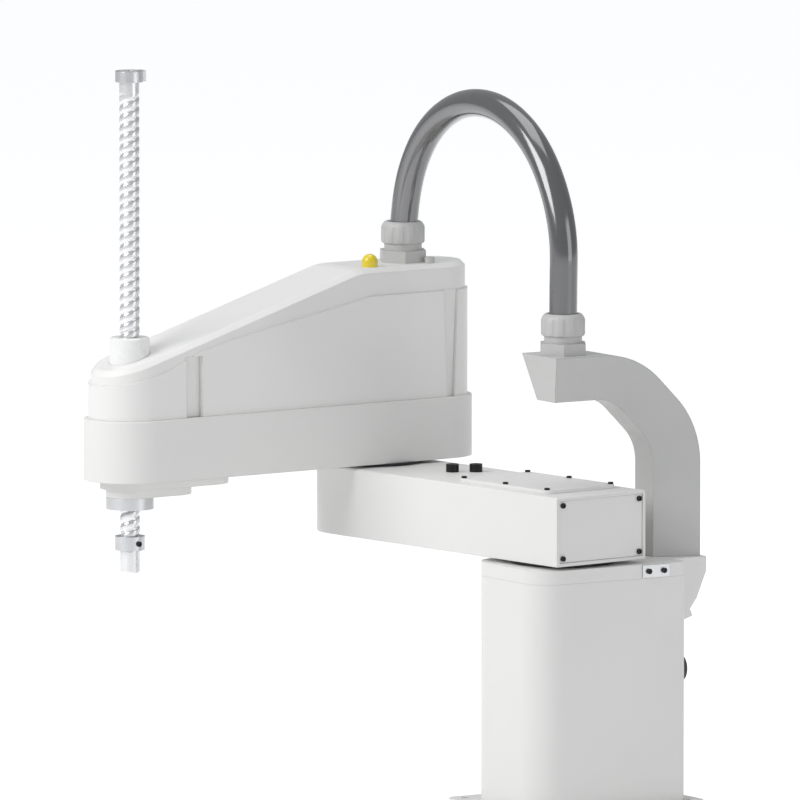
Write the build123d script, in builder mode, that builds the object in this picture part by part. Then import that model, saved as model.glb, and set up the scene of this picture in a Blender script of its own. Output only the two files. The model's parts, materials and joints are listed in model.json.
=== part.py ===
from build123d import *
from math import radians, tan
import os

os.makedirs("parts", exist_ok=True)

# Four-axis SCARA robot, in millimetres. Origin on the shoulder axis, at the underside of the foot.
# +X is the robot's front, +Z is up. The arms stand turned as they are drawn, with every joint at zero.

# Reach and pose
upper_arm = 300.0
forearm = 300.0
shoulder_heading = -83.0
elbow_turn = 87.0

# Clearances
running_gap = 0.05
free_gap = 0.3
seat_gap = 0.2
turn_gap = 4.0

# Foot and column
foot_thickness = 16.0
foot_front = 90.0
foot_rear = 122.0
foot_width = 156.0
foot_corner = 12.0
bolt_pitch_x = 180.0
bolt_pitch_y = 126.0
bolt_hole = 9.0
column_front = 69.5
column_rear = 105.0
column_width = 127.0
column_front_corner = 30.0
column_rear_corner = 5.0
column_wall = 6.0
column_top = 241.0
top_plate_thickness = 14.0

# Shoulder drive
reducer_radius = 46.0
reducer_flange_radius = 54.0
reducer_flange = 6.0
reducer_depth = 38.0
reducer_waist = 2.0
j1_motor_size = 80.0
j1_motor_length = 112.0
output_radius = 52.0
output_hub_radius = 20.0
output_hub_depth = 12.0
cable_bore = 8.0

# Upper arm
arm_height = 69.0
arm_half_width = 57.0
arm_tail = 60.0
arm_wall = 6.0
arm_edge = 1.5
arm_nose_wall = 13.0
end_lip = 3.5
end_cover_thickness = 5.0
end_cover_recess = 1.0
end_boss = 7.0
end_boss_length = 16.0
end_screw_margin = 1.0
lid_thickness = 4.0
lid_start = -30.0
lid_end = 110.0
lid_half_width = 46.0
lid_corner = 8.0
lid_edge = 1.0
lid_overlap = 10.0
lid_screw_inset = 5.0
elbow_gap = 3.0
elbow_reducer_radius = 42.0
elbow_reducer_depth = 52.0
elbow_output_radius = 50.0
elbow_hub_radius = 18.0
elbow_hub_depth = 14.0
stop_bolt_head = 6.5
stop_bolt_height = 8.0
stop_bolt_shank = 4.0
stop_bolt_length = 8.0
stop_bolt_1 = (120.0, -5.0)
stop_bolt_2 = (134.0, -24.0)

# Forearm pan
pan_height = 62.0
pan_half_width = 46.0
pan_tail = 66.0
pan_wall = 4.0
pan_floor = 6.0
pan_lip = 6.0
pan_lip_reach = 5.0
pan_edge = 1.0

# Forearm cover
cover_inset = 4.5
cover_wall = 3.0
band_inset = 2.5
cover_top = 135.5
roof_flat_end = 45.0
roof_front = 45.8
roof_edge = 5.0
crest_level = 108.0
crest_start = 30.0
crest_fall = ((-95.0, 74.5), (-58.0, 65.0), (-21.0, 49.0), (3.0, 42.0), (45.0, 33.0))
front_slot_behind = 60.0
front_slot_width = 19.5
front_slot_height = 61.0
vent_thickness = 2.0
vent_overlap = 4.0
rear_slot_ahead = 8.0
rear_slot_rake = 4.0
rear_slot_top_width = 18.0
rear_slot_foot_width = 9.0
rear_slot_depth = 4.0

# Screw spline shaft and its nuts
shaft_radius = 10.0
shaft_bore = 5.0
shaft_length = 503.0
shaft_drop = 64.5
shaft_end_length = 21.5
shaft_relief_width = 1.5
shaft_relief_depth = 0.5
clamp_radius = 14.0
clamp_height = 11.0
clamp_lug = 3.0
clamp_lug_width = 10.0
collar_radius = 15.0
collar_height = 14.0
sleeve_radius = 20.0
sleeve_wall = 2.4
sleeve_height = 75.5
sleeve_cap = 4.0
sleeve_edge = 1.5
nut_radius = 17.0
nut_shoulder_radius = 20.0
nut_shoulder = 1.5
spline_nut_recess = 1.5
screw_nut_tail = 4.5
screw_nut_stand = 6.0
pulley_radius = 24.0
motor_pulley_radius = 12.0
pulley_width = 12.0
pulley_rim = 2.0
pulley_lip = 1.5
belt_thickness = 1.6
pulley_spacing = 28.0
bearing_radius = 25.0
bearing_width = 10.0
bearing_seat = 3.5
bearing_lip = 1.5
bearing_gap = 0.5
plate_gap = 2.0

# Lower flange and boss under the wrist
flange_radius = 30.0
flange_thickness = 9.0
flange_reach = 84.0
step_radius = 24.0
step_thickness = 8.5
step_reach = 46.0
boss_radius = 24.0
boss_height = 12.0

# Motors in the forearm
elbow_motor_size = 60.0
elbow_motor_length = 118.0
elbow_shaft_recess = 2.0
lift_motor_behind = 78.0
lift_motor_size = 42.0
lift_motor_length = 56.0
turn_motor_behind = 160.0
turn_motor_size = 42.0
turn_motor_length = 78.0
motor_corner = 5.0
motor_cap_step = 2.0
motor_shaft_radius = 4.0
pilot_radius = 11.0
pilot_height = 2.0
shaft_engagement = 14.0
bracket_thickness = 5.0
bracket_wall = 4.0
bracket_length = 54.0
bracket_half_width = 31.0
nut_plate_thickness = 10.0
nut_bracket_half_width = 33.0
nut_bracket_length = 66.0

# Cable duct
duct_height = 207.5
duct_inset = 4.0
duct_tip = 28.0
duct_tip_rake = 8.0
duct_depth = 46.0
duct_outer_width = 64.0
duct_inner_width = 33.0
duct_wall = 4.0
duct_chamfer = 62.0
duct_bend = 70.0

# Bracket and connectors behind the column
bracket_depth = 41.0
bracket_width = 74.0
bracket_lip_height = 15.0
bracket_waist_depth = 22.0
bracket_waist_drop = 52.0
bracket_root_drop = 67.0
bracket_shoulder = (8.0, 11.0)
bracket_toe = (3.0, 7.0)
bracket_pocket_depth = 38.0
bracket_pocket_length = 26.0
bracket_pocket_width = 40.0
cable_window_width = 30.0
cable_window_height = 12.0
cable_window_drop = 28.0
panel_width = 92.0
panel_height = 62.0
panel_thickness = 3.0
panel_corner = 3.0
panel_drop = 106.0
panel_border = 8.0
connector_radius = 14.0
connector_length = 16.0
connector_spacing = 46.0
connector_rise = 8.0
connector_flange = 3.0
connector_flange_margin = 2.0
connector_wall = 2.5
connector_insert_radius = 7.7
connector_insert_recess = 4.0
air_fitting_radius = 5.0
air_fitting_bore = 3.0
air_fitting_length = 14.0
air_fitting_pitch = 13.0
air_fitting_inset = 9.0
rim_plate_behind = 69.0
rim_plate_length = 32.0
rim_plate_height = 12.5
rim_plate_thickness = 1.5
rim_plate_corner = 1.0
rim_screw_spacing = 17.6

# Cable glands and conduit
gland_flats = 44.0
gland_hex_height = 12.0
gland_neck_radius = 19.0
gland_neck_height = 7.0
gland_nut_height = 22.0
gland_nut_radius = 22.0
gland_nut_edge = 2.5
gland_thread_radius = 15.5
gland_thread_depth = 10.0
conduit_radius = 14.0
conduit_bore = 11.0
conduit_gap = 1.5
conduit_seat = 4.0
conduit_first_run = 50.0
conduit_rise = 128.0
conduit_shoulder = 199.0
conduit_crown = 238.0
conduit_shoulder_in = 39.0
conduit_crown_in = 110.0
conduit_bow = 2.5
arm_gland_behind = 36.8

# Lamp, fitting and fasteners
lamp_radius = 8.0
lamp_height = 5.0
lamp_at = (21.0, 23.0)
fitting_radius = 5.0
fitting_height = 6.0
fitting_at = (-49.0, 29.0)
screw_head = 2.75
screw_head_height = 2.0
screw_shank = 1.5
screw_length = 8.0
screw_fit = 0.1

# Heights that follow from the sizes above
base_top = column_top + top_plate_thickness
bracket_back = column_rear + bracket_depth
duct_back = bracket_back - duct_inset
duct_top = base_top + duct_height
panel_centre_z = column_top - panel_drop
arm_bottom = base_top + turn_gap
arm_top = arm_bottom + arm_height
arm_pocket_end = upper_arm - elbow_reducer_radius - arm_nose_wall
pan_bottom = arm_top + elbow_gap
pan_floor_top = pan_bottom + pan_floor
pan_top = pan_bottom + pan_height
cover_peak = pan_top + cover_top
flange_bottom = pan_bottom - flange_thickness
step_bottom = flange_bottom - step_thickness
boss_bottom = step_bottom - boss_height
shaft_low = boss_bottom - shaft_drop
shaft_high = shaft_low + shaft_length
collar_low = shaft_low + shaft_end_length + shaft_relief_width
spline_nut_low = boss_bottom + spline_nut_recess
bearing_level = pan_bottom + pan_floor / 2
spline_pulley_level = bearing_level + bearing_width + bearing_gap + nut_shoulder
screw_pulley_level = spline_pulley_level + pulley_spacing
cover_half_width = pan_half_width - cover_inset
band_half_width = cover_half_width - band_inset
turn_plate_level = spline_pulley_level + pulley_width + plate_gap
lift_plate_level = screw_pulley_level + pulley_width + plate_gap
nut_plate_top = lift_plate_level + nut_plate_thickness
sleeve_top = nut_plate_top + sleeve_height
turn_motor_at = forearm - turn_motor_behind
lift_motor_at = forearm - lift_motor_behind
front_slot_start = forearm - front_slot_behind
front_slot_end = front_slot_start + front_slot_width
rear_slot_front = rear_slot_ahead - pan_tail
front_end = forearm + pan_half_width
roof_fall = (cover_top - roof_front) / (front_end - roof_flat_end)
crest_points = [(crest_start, crest_level)] + [(forearm + along, height) for along, height in crest_fall]

# Axes in plan
forearm_heading = shoulder_heading + elbow_turn
shoulder = Vector(0, 0, 0)
elbow = shoulder + Vector(upper_arm, 0, 0).rotate(Axis.Z, shoulder_heading)
wrist = elbow + Vector(forearm, 0, 0).rotate(Axis.Z, forearm_heading)
arm_gland = elbow - Vector(arm_gland_behind, 0, 0).rotate(Axis.Z, forearm_heading)


def level(origin, heading, z):
    """A horizontal plane at height z, with its x axis along an arm."""
    along = Vector(1, 0, 0).rotate(Axis.Z, heading)
    return Plane(origin=(origin.X, origin.Y, z), x_dir=along, z_dir=(0, 0, 1))


def upright(origin, heading, z=0.0):
    """A vertical plane through an arm's middle, with x along the arm and y up."""
    along = Vector(1, 0, 0).rotate(Axis.Z, heading)
    return Plane(origin=(origin.X, origin.Y, z), x_dir=along, z_dir=along.cross(Vector(0, 0, 1)))


def across(origin, heading, distance, z=0.0):
    """A vertical plane across an arm, facing back along it, with y up."""
    along = Vector(1, 0, 0).rotate(Axis.Z, heading)
    spot = origin + along * distance
    return Plane(origin=(spot.X, spot.Y, z), x_dir=along.cross(Vector(0, 0, 1)), z_dir=along * -1)


def on_upper_arm(z):
    return level(shoulder, shoulder_heading, z)


def on_forearm(z):
    return level(elbow, forearm_heading, z)


def on_wrist(z):
    return level(wrist, forearm_heading, z)


def rear_of_column(distance=0.0):
    """A vertical plane behind the column, facing back, with y up."""
    return Plane(origin=(-column_rear - distance, 0, 0), x_dir=(0, -1, 0), z_dir=(-1, 0, 0))


def column_outline(inset=0.0):
    """The column in plan: wide front corners and tight rear ones."""
    with BuildSketch() as outline:
        with Locations(((column_front - column_rear) / 2, 0)):
            Rectangle(column_front + column_rear, column_width)
        fillet(outline.vertices().group_by(Axis.X)[-1], column_front_corner)
        fillet(outline.vertices().group_by(Axis.X)[0], column_rear_corner)
        if inset:
            offset(amount=-inset, kind=Kind.INTERSECTION)
    return outline.sketch


def arm_outline(tail, reach, half_width, round_tail=True):
    """A long arm in plan: straight sides, a round end at reach, and a round or square tail."""
    with BuildSketch() as outline:
        with Locations(((reach - tail) / 2, 0)):
            Rectangle(reach + tail, 2 * half_width)
        with Locations((reach, 0)):
            Circle(half_width)
        if round_tail:
            with Locations((-tail, 0)):
                Circle(half_width)
    return outline.sketch


def oval(reach, radius):
    """A round-ended plate in plan, from its centre back along the arm."""
    with BuildSketch() as outline:
        Circle(radius)
        with Locations((-reach, 0)):
            Circle(radius)
        with Locations((-reach / 2, 0)):
            Rectangle(reach, 2 * radius)
    return outline.sketch


def belt_track(distance, small, large):
    """Two circles and the straight runs between them, in plan."""
    with BuildSketch() as track:
        Circle(large)
        with Locations((-distance, 0)):
            Circle(small)
        make_hull()
    return track.sketch


def disc(plane, radius, height, bore=0.0):
    """A round plate or ring standing on a plane."""
    with BuildPart() as body:
        with BuildSketch(plane):
            Circle(radius)
            if bore:
                Circle(bore, mode=Mode.SUBTRACT)
        extrude(amount=height)
    return body.part


def motor(plane, size, length, shaft_length=0.0):
    """A square servo motor standing on its mounting face, with a shaft or a bore below."""
    with BuildPart() as body:
        with BuildSketch(plane):
            RectangleRounded(size, size, motor_corner)
        extrude(amount=length * 0.7)
        with BuildSketch(plane.offset(length * 0.7)):
            RectangleRounded(size - 2 * motor_cap_step, size - 2 * motor_cap_step, motor_corner)
        extrude(amount=length * 0.3)
        with BuildSketch(plane):
            Circle(pilot_radius - running_gap)
        extrude(amount=-pilot_height)
        if shaft_length:
            with BuildSketch(plane):
                Circle(motor_shaft_radius)
            extrude(amount=-shaft_length)
        else:
            with BuildSketch(plane.offset(-pilot_height)):
                Circle(motor_shaft_radius + running_gap)
            extrude(amount=shaft_engagement + pilot_height, mode=Mode.SUBTRACT)
    return body.part


def belt_pulley(plane, radius, bore=0.0):
    """A belt pulley with a lip on each side of its belt track."""
    with BuildPart() as body:
        with BuildSketch(plane):
            Circle(radius)
        extrude(amount=pulley_width)
        for height in (0.0, pulley_width - pulley_lip):
            with BuildSketch(plane.offset(height)):
                Circle(radius + pulley_rim)
            extrude(amount=pulley_lip)
        if bore:
            with BuildSketch(plane):
                Circle(bore)
            extrude(amount=pulley_width, mode=Mode.SUBTRACT)
    return body.part


def motor_pulley(plane, mount_level):
    """A motor's belt pulley with its shaft, which runs up into the motor."""
    with BuildPart() as body:
        add(belt_pulley(plane, motor_pulley_radius))
        with BuildSketch(plane.offset(pulley_width)):
            Circle(motor_shaft_radius)
        extrude(amount=mount_level - plane.origin.Z - pulley_width + shaft_engagement - free_gap)
    return body.part


def belt_loop(plane, distance):
    """A belt as its closed band round a motor pulley and a nut pulley, distance apart."""
    small = motor_pulley_radius + free_gap
    large = pulley_radius + free_gap
    with BuildPart() as body:
        with BuildSketch(plane.offset(pulley_lip + free_gap)):
            add(belt_track(distance, small + belt_thickness, large + belt_thickness))
            add(belt_track(distance, small, large), mode=Mode.SUBTRACT)
        extrude(amount=pulley_width - 2 * (pulley_lip + free_gap))
    return body.part


def motor_bracket(plane, rise, bore):
    """A bench of two legs and a plate that holds a motor above its belt."""
    with BuildPart() as body:
        with BuildSketch(plane):
            for side in (-1, 1):
                with Locations((0, side * (bracket_half_width - bracket_wall / 2))):
                    Rectangle(bracket_length, bracket_wall)
        extrude(amount=rise)
        with BuildSketch(plane.offset(rise)):
            Rectangle(bracket_length, 2 * bracket_half_width)
            Circle(bore, mode=Mode.SUBTRACT)
        extrude(amount=bracket_thickness)
    return body.part


def belt_nut(plane, low, high, shoulder_at):
    """A nut on the shaft, with a shoulder that carries its belt pulley."""
    with BuildPart() as body:
        with BuildSketch(plane.offset(low)):
            Circle(nut_radius)
        extrude(amount=high - low)
        with BuildSketch(plane.offset(shoulder_at - nut_shoulder)):
            Circle(nut_shoulder_radius)
        extrude(amount=nut_shoulder)
        with BuildSketch(plane.offset(low - nut_shoulder)):
            Circle(shaft_radius + running_gap)
        extrude(amount=high - low + 2 * nut_shoulder, mode=Mode.SUBTRACT)
    return body.part


def gland_body(plane):
    """The screwed-in half of a cable gland: thread, hexagon and neck, bored for the conduit."""
    with BuildPart() as body:
        with BuildSketch(plane.offset(-gland_thread_depth)):
            Circle(gland_thread_radius - running_gap)
        extrude(amount=gland_thread_depth)
        with BuildSketch(plane):
            RegularPolygon(gland_flats / 2, 6, major_radius=False)
        extrude(amount=gland_hex_height)
        with BuildSketch(plane.offset(gland_hex_height)):
            Circle(gland_neck_radius)
        extrude(amount=gland_neck_height)
        with BuildSketch(plane.offset(conduit_seat)):
            Circle(conduit_radius + conduit_gap)
        extrude(amount=gland_hex_height + gland_neck_height, mode=Mode.SUBTRACT)
        with BuildSketch(plane.offset(-gland_thread_depth)):
            Circle(conduit_bore)
        extrude(amount=gland_thread_depth + gland_hex_height, mode=Mode.SUBTRACT)
    return body.part


def gland_nut(plane):
    """The clamping nut on a gland."""
    with BuildPart() as body:
        with BuildSketch(plane.offset(gland_hex_height + gland_neck_height)):
            Circle(gland_nut_radius)
        extrude(amount=gland_nut_height)
        chamfer(body.edges().group_by(Axis.Z)[-1], gland_nut_edge)
        with BuildSketch(plane.offset(gland_hex_height + gland_neck_height)):
            Circle(conduit_radius + conduit_gap)
        extrude(amount=gland_nut_height, mode=Mode.SUBTRACT)
    return body.part


def screws(plane, spots, head, head_height, shank, length):
    """Socket head screws standing on a plane, one at each spot, their shanks going down."""
    with BuildPart() as body:
        with BuildSketch(plane):
            with Locations(*spots):
                Circle(head)
        extrude(amount=head_height)
        with BuildSketch(plane):
            with Locations(*spots):
                Circle(shank)
        extrude(amount=-length)
        with BuildSketch(plane.offset(head_height)):
            with Locations(*spots):
                RegularPolygon(head * 0.5, 6)
        extrude(amount=-head_height * 0.5, mode=Mode.SUBTRACT)
    return body.part


def screw_holes(plane, spots, shank, length):
    """The holes for such screws."""
    with BuildPart() as body:
        with BuildSketch(plane):
            with Locations(*spots):
                Circle(shank + screw_fit)
        extrude(amount=-length - screw_fit)
    return body.part


def save(part, name):
    """Labels a piece and writes its file."""
    part.label = name
    export_step(part, f"parts/{name}.step")


# Foot and column, cast in one and open at the top
foot_middle = (foot_front - foot_rear) / 2
with BuildPart() as base_casting:
    with BuildSketch():
        with Locations((foot_middle, 0)):
            RectangleRounded(foot_front + foot_rear, foot_width, foot_corner)
    extrude(amount=foot_thickness)
    with BuildSketch(Plane.XY.offset(foot_thickness)):
        add(column_outline())
    extrude(amount=column_top - foot_thickness)
    with BuildSketch(Plane.XY.offset(foot_thickness)):
        add(column_outline(column_wall))
    extrude(amount=column_top, mode=Mode.SUBTRACT)
    with BuildSketch(rear_of_column(1)):
        with Locations((0, panel_centre_z)):
            Rectangle(panel_width - 2 * panel_border, panel_height - 2 * panel_border)
        with Locations((0, base_top - cable_window_drop)):
            Rectangle(cable_window_width, cable_window_height)
    extrude(amount=-column_wall - 2, mode=Mode.SUBTRACT)
    with BuildSketch():
        with Locations((foot_middle, 0)):
            with GridLocations(bolt_pitch_x, bolt_pitch_y, 2, 2):
                Circle(bolt_hole / 2)
    extrude(amount=foot_thickness, mode=Mode.SUBTRACT)
save(base_casting.part, "base_casting")

# Plate that closes the column and carries the shoulder reducer
rim_screw_spots = [
    (rim_plate_behind - rim_screw_spacing / 2, column_top + top_plate_thickness / 2),
    (rim_plate_behind + rim_screw_spacing / 2, column_top + top_plate_thickness / 2),
]
rim_face = Plane(origin=(0, column_width / 2, 0), x_dir=(-1, 0, 0), z_dir=(0, 1, 0))
with BuildPart() as top_plate:
    with BuildSketch(Plane.XY.offset(column_top)):
        add(column_outline())
        Circle(reducer_radius, mode=Mode.SUBTRACT)
    extrude(amount=top_plate_thickness)
    add(
        screw_holes(rim_face.offset(rim_plate_thickness), rim_screw_spots, screw_shank, screw_length),
        mode=Mode.SUBTRACT,
    )
save(top_plate.part, "top_plate")

# Small plate screwed to the near side of the rim
with BuildPart() as rim_plate:
    with BuildSketch(rim_face):
        with Locations((rim_plate_behind, column_top + top_plate_thickness / 2)):
            RectangleRounded(rim_plate_length, rim_plate_height, rim_plate_corner)
        with Locations(*rim_screw_spots):
            Circle(screw_shank + screw_fit, mode=Mode.SUBTRACT)
    extrude(amount=rim_plate_thickness)
save(rim_plate.part, "rim_plate")
save(
    screws(
        rim_face.offset(rim_plate_thickness),
        rim_screw_spots,
        screw_head,
        screw_head_height,
        screw_shank,
        screw_length,
    ),
    "rim_plate_screws",
)

# Shoulder reducer, hung under the top plate by its flange
with BuildPart() as shoulder_reducer:
    with BuildSketch(Plane.XY.offset(column_top - reducer_flange)):
        Circle(reducer_flange_radius)
    extrude(amount=reducer_flange)
    with BuildSketch(Plane.XY.offset(column_top)):
        Circle(reducer_radius - running_gap)
    extrude(amount=top_plate_thickness)
    with BuildSketch(Plane.XY.offset(column_top - reducer_depth)):
        Circle(reducer_radius - reducer_waist)
    extrude(amount=reducer_depth)
    with BuildSketch(Plane.XY.offset(base_top)):
        Circle(output_hub_radius + running_gap)
    extrude(amount=-output_hub_depth - 1, mode=Mode.SUBTRACT)
    with BuildSketch(Plane.XY.offset(column_top - reducer_depth)):
        Circle(pilot_radius)
    extrude(amount=pilot_height, mode=Mode.SUBTRACT)
    with BuildSketch(Plane.XY.offset(column_top - reducer_depth)):
        Circle(motor_shaft_radius + running_gap)
    extrude(amount=shaft_engagement + 1, mode=Mode.SUBTRACT)
save(shoulder_reducer.part, "shoulder_reducer")

# Shoulder motor, under the reducer with its shaft up
motor_mount = Plane(origin=(0, 0, column_top - reducer_depth), x_dir=(1, 0, 0), z_dir=(0, 0, -1))
save(motor(motor_mount, j1_motor_size, j1_motor_length, shaft_engagement), "shoulder_motor")

# Bracket behind the column that carries the cable duct
waist_back = column_rear + bracket_waist_depth
waist_level = base_top - bracket_waist_drop
with BuildPart() as rear_bracket:
    with BuildSketch(Plane.XZ):
        with BuildLine():
            Polyline(
                (-column_rear, base_top),
                (-bracket_back, base_top),
                (-bracket_back, base_top - bracket_lip_height),
                (-waist_back - bracket_shoulder[0], waist_level + bracket_shoulder[1]),
                (-waist_back, waist_level),
                (-waist_back - bracket_toe[0], waist_level - bracket_toe[1]),
                (-column_rear, base_top - bracket_root_drop),
                close=True,
            )
        make_face()
    extrude(amount=bracket_width / 2, both=True)
    with BuildSketch(Plane.XY.offset(base_top - bracket_pocket_depth)):
        with Locations((-column_rear - bracket_pocket_length / 2, 0)):
            Rectangle(bracket_pocket_length, bracket_pocket_width)
    extrude(amount=bracket_pocket_depth, mode=Mode.SUBTRACT)
save(rear_bracket.part, "rear_bracket")

# Cable duct: a gooseneck of trapezoid section, wide face outward, closed at its tip
duct_axis = duct_back - duct_depth / 2
duct_level = duct_top - duct_depth / 2


def duct_section(wall):
    """The duct's cross section at its foot, or the space inside it."""
    outer = duct_outer_width / 2 - 1.35 * wall
    inner = duct_inner_width / 2 - wall
    half = duct_depth / 2 - wall
    with BuildSketch(Plane.XY.offset(base_top)) as section:
        with BuildLine():
            Polyline(
                (-duct_axis - half, -outer),
                (-duct_axis - half, outer),
                (-duct_axis + half, inner),
                (-duct_axis + half, -inner),
                close=True,
            )
        make_face()
    return section.sketch


def duct_route(tip):
    """The duct's middle line, from its foot to a point under the tip."""
    with BuildLine(Plane.XZ) as route:
        FilletPolyline(
            (-duct_axis, base_top),
            (-duct_axis, duct_level - duct_chamfer),
            (-duct_axis + duct_chamfer, duct_level),
            (tip, duct_level),
            radius=duct_bend,
        )
    return route.line


duct_hollow_end = duct_tip - duct_tip_rake - duct_wall
with BuildPart() as cable_duct:
    sweep(sections=duct_section(0.0), path=duct_route(duct_tip))
    sweep(sections=duct_section(duct_wall), path=duct_route(duct_hollow_end), mode=Mode.SUBTRACT)
    with BuildSketch(Plane.XZ):
        with BuildLine():
            Polyline(
                (duct_tip, duct_top),
                (duct_tip + 1, duct_top),
                (duct_tip + 1, duct_top - duct_depth),
                (duct_tip - duct_tip_rake, duct_top - duct_depth),
                close=True,
            )
        make_face()
    extrude(amount=duct_outer_width, both=True, mode=Mode.SUBTRACT)
    with BuildSketch(Plane.XY.offset(duct_top - duct_wall - 1)):
        Circle(gland_thread_radius)
    extrude(amount=duct_wall + 2, mode=Mode.SUBTRACT)
save(cable_duct.part, "cable_duct")

save(gland_body(Plane.XY.offset(duct_top)), "duct_gland_body")
save(gland_nut(Plane.XY.offset(duct_top)), "duct_gland_nut")

# Connector panel behind the column
panel_face = rear_of_column(panel_thickness)
with BuildPart() as connector_panel:
    with BuildSketch(rear_of_column()):
        with Locations((0, panel_centre_z)):
            RectangleRounded(panel_width, panel_height, panel_corner)
    extrude(amount=panel_thickness)
save(connector_panel.part, "connector_panel")

for side, name in ((-1, "power_connector"), (1, "signal_connector")):
    connector_spot = (side * connector_spacing / 2, panel_centre_z + connector_rise)
    connector_side = 2 * (connector_radius + connector_flange_margin)
    with BuildPart() as connector:
        with BuildSketch(panel_face):
            with Locations(connector_spot):
                RectangleRounded(connector_side, connector_side, panel_corner)
        extrude(amount=connector_flange)
        with BuildSketch(panel_face.offset(connector_flange)):
            with Locations(connector_spot):
                Circle(connector_radius)
                Circle(connector_radius - connector_wall, mode=Mode.SUBTRACT)
        extrude(amount=connector_length - connector_flange)
        with BuildSketch(panel_face.offset(connector_flange)):
            with Locations(connector_spot):
                Circle(connector_insert_radius)
        extrude(amount=connector_length - connector_flange - connector_insert_recess)
    save(connector.part, name)

with BuildPart() as air_fittings:
    with BuildSketch(panel_face):
        with Locations((0, panel_centre_z - panel_height / 2 + air_fitting_inset)):
            with GridLocations(air_fitting_pitch, 1, 4, 1):
                Circle(air_fitting_radius)
                Circle(air_fitting_bore, mode=Mode.SUBTRACT)
    extrude(amount=air_fitting_length)
save(air_fittings.part, "air_fittings")

# Upper arm: a hollow casting, open at its tail and under its lid
arm_middle = arm_bottom + arm_height / 2
end_screw_inset = end_lip + end_boss / 2 + end_screw_margin
end_screw_spots = [
    (side * (arm_half_width - end_screw_inset), tier * (arm_height / 2 - end_screw_inset))
    for side in (-1, 1)
    for tier in (-1, 1)
]
end_face = across(shoulder, shoulder_heading, -arm_tail, arm_middle)
lid_middle = (lid_start + lid_end) / 2
lid_length = lid_end - lid_start
lid_screw_spots = [
    (lid_middle + along * (lid_length / 2 - lid_screw_inset), side * (lid_half_width - lid_screw_inset))
    for along in (-1, 0, 1)
    for side in (-1, 1)
]
stop_spots = [(upper_arm - behind, side) for behind, side in (stop_bolt_1, stop_bolt_2)]
with BuildPart() as upper_arm_casting:
    with BuildSketch(on_upper_arm(arm_bottom)):
        add(arm_outline(arm_tail, upper_arm, arm_half_width, round_tail=False))
    extrude(amount=arm_height)
    chamfer(upper_arm_casting.edges().group_by(Axis.Z)[-1], arm_edge)
    with BuildSketch(on_upper_arm(arm_bottom + arm_wall)):
        with Locations(((arm_pocket_end - arm_tail + end_boss_length) / 2, 0)):
            Rectangle(arm_pocket_end + arm_tail - end_boss_length, 2 * (arm_half_width - arm_wall))
    extrude(amount=arm_height - 2 * arm_wall, mode=Mode.SUBTRACT)
    with BuildSketch(end_face):
        Rectangle(2 * (arm_half_width - arm_wall - end_boss), arm_height - 2 * arm_wall)
        Rectangle(2 * (arm_half_width - arm_wall), arm_height - 2 * (arm_wall + end_boss))
    extrude(amount=-end_boss_length - 1, mode=Mode.SUBTRACT)
    with BuildSketch(end_face):
        Rectangle(2 * (arm_half_width - end_lip), arm_height - 2 * end_lip)
    extrude(amount=-end_cover_thickness - end_cover_recess, mode=Mode.SUBTRACT)
    with BuildSketch(on_upper_arm(arm_top)):
        with Locations((lid_middle, 0)):
            RectangleRounded(lid_length - 2 * lid_overlap, 2 * (lid_half_width - lid_overlap), lid_corner)
    extrude(amount=-arm_wall - 1, mode=Mode.SUBTRACT)
    with BuildSketch(on_upper_arm(arm_bottom)):
        Circle(cable_bore)
    extrude(amount=arm_wall + 1, mode=Mode.SUBTRACT)
    with BuildSketch(on_upper_arm(arm_top)):
        with Locations((upper_arm, 0)):
            Circle(elbow_reducer_radius)
    extrude(amount=-elbow_reducer_depth, mode=Mode.SUBTRACT)
    add(screw_holes(on_upper_arm(arm_top), stop_spots, stop_bolt_shank, stop_bolt_length), mode=Mode.SUBTRACT)
    add(screw_holes(on_upper_arm(arm_top), lid_screw_spots, screw_shank, screw_length), mode=Mode.SUBTRACT)
    add(
        screw_holes(end_face.offset(-end_cover_recess), end_screw_spots, screw_shank, 2 * screw_length),
        mode=Mode.SUBTRACT,
    )
save(upper_arm_casting.part, "upper_arm_casting")

with BuildPart() as end_cover:
    with BuildSketch(end_face.offset(-end_cover_recess)):
        Rectangle(2 * (arm_half_width - end_lip - seat_gap), arm_height - 2 * (end_lip + seat_gap))
        with Locations(*end_screw_spots):
            Circle(screw_shank + screw_fit, mode=Mode.SUBTRACT)
    extrude(amount=-end_cover_thickness)
save(end_cover.part, "end_cover")
save(
    screws(
        end_face.offset(-end_cover_recess),
        end_screw_spots,
        screw_head,
        screw_head_height,
        screw_shank,
        2 * screw_length,
    ),
    "end_cover_screws",
)

with BuildPart() as arm_lid:
    with BuildSketch(on_upper_arm(arm_top)):
        with Locations((lid_middle, 0)):
            RectangleRounded(lid_length, 2 * lid_half_width, lid_corner)
        with Locations(*lid_screw_spots):
            Circle(screw_shank + screw_fit, mode=Mode.SUBTRACT)
    extrude(amount=lid_thickness)
    chamfer(arm_lid.edges().group_by(Axis.Z)[-1].group_by(SortBy.LENGTH)[-1], lid_edge)
save(arm_lid.part, "arm_lid")
save(
    screws(
        on_upper_arm(arm_top + lid_thickness),
        lid_screw_spots,
        screw_head,
        screw_head_height,
        screw_shank,
        screw_length,
    ),
    "lid_screws",
)
save(
    screws(
        on_upper_arm(arm_top), stop_spots, stop_bolt_head, stop_bolt_height, stop_bolt_shank, stop_bolt_length
    ),
    "stop_bolts",
)

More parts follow.
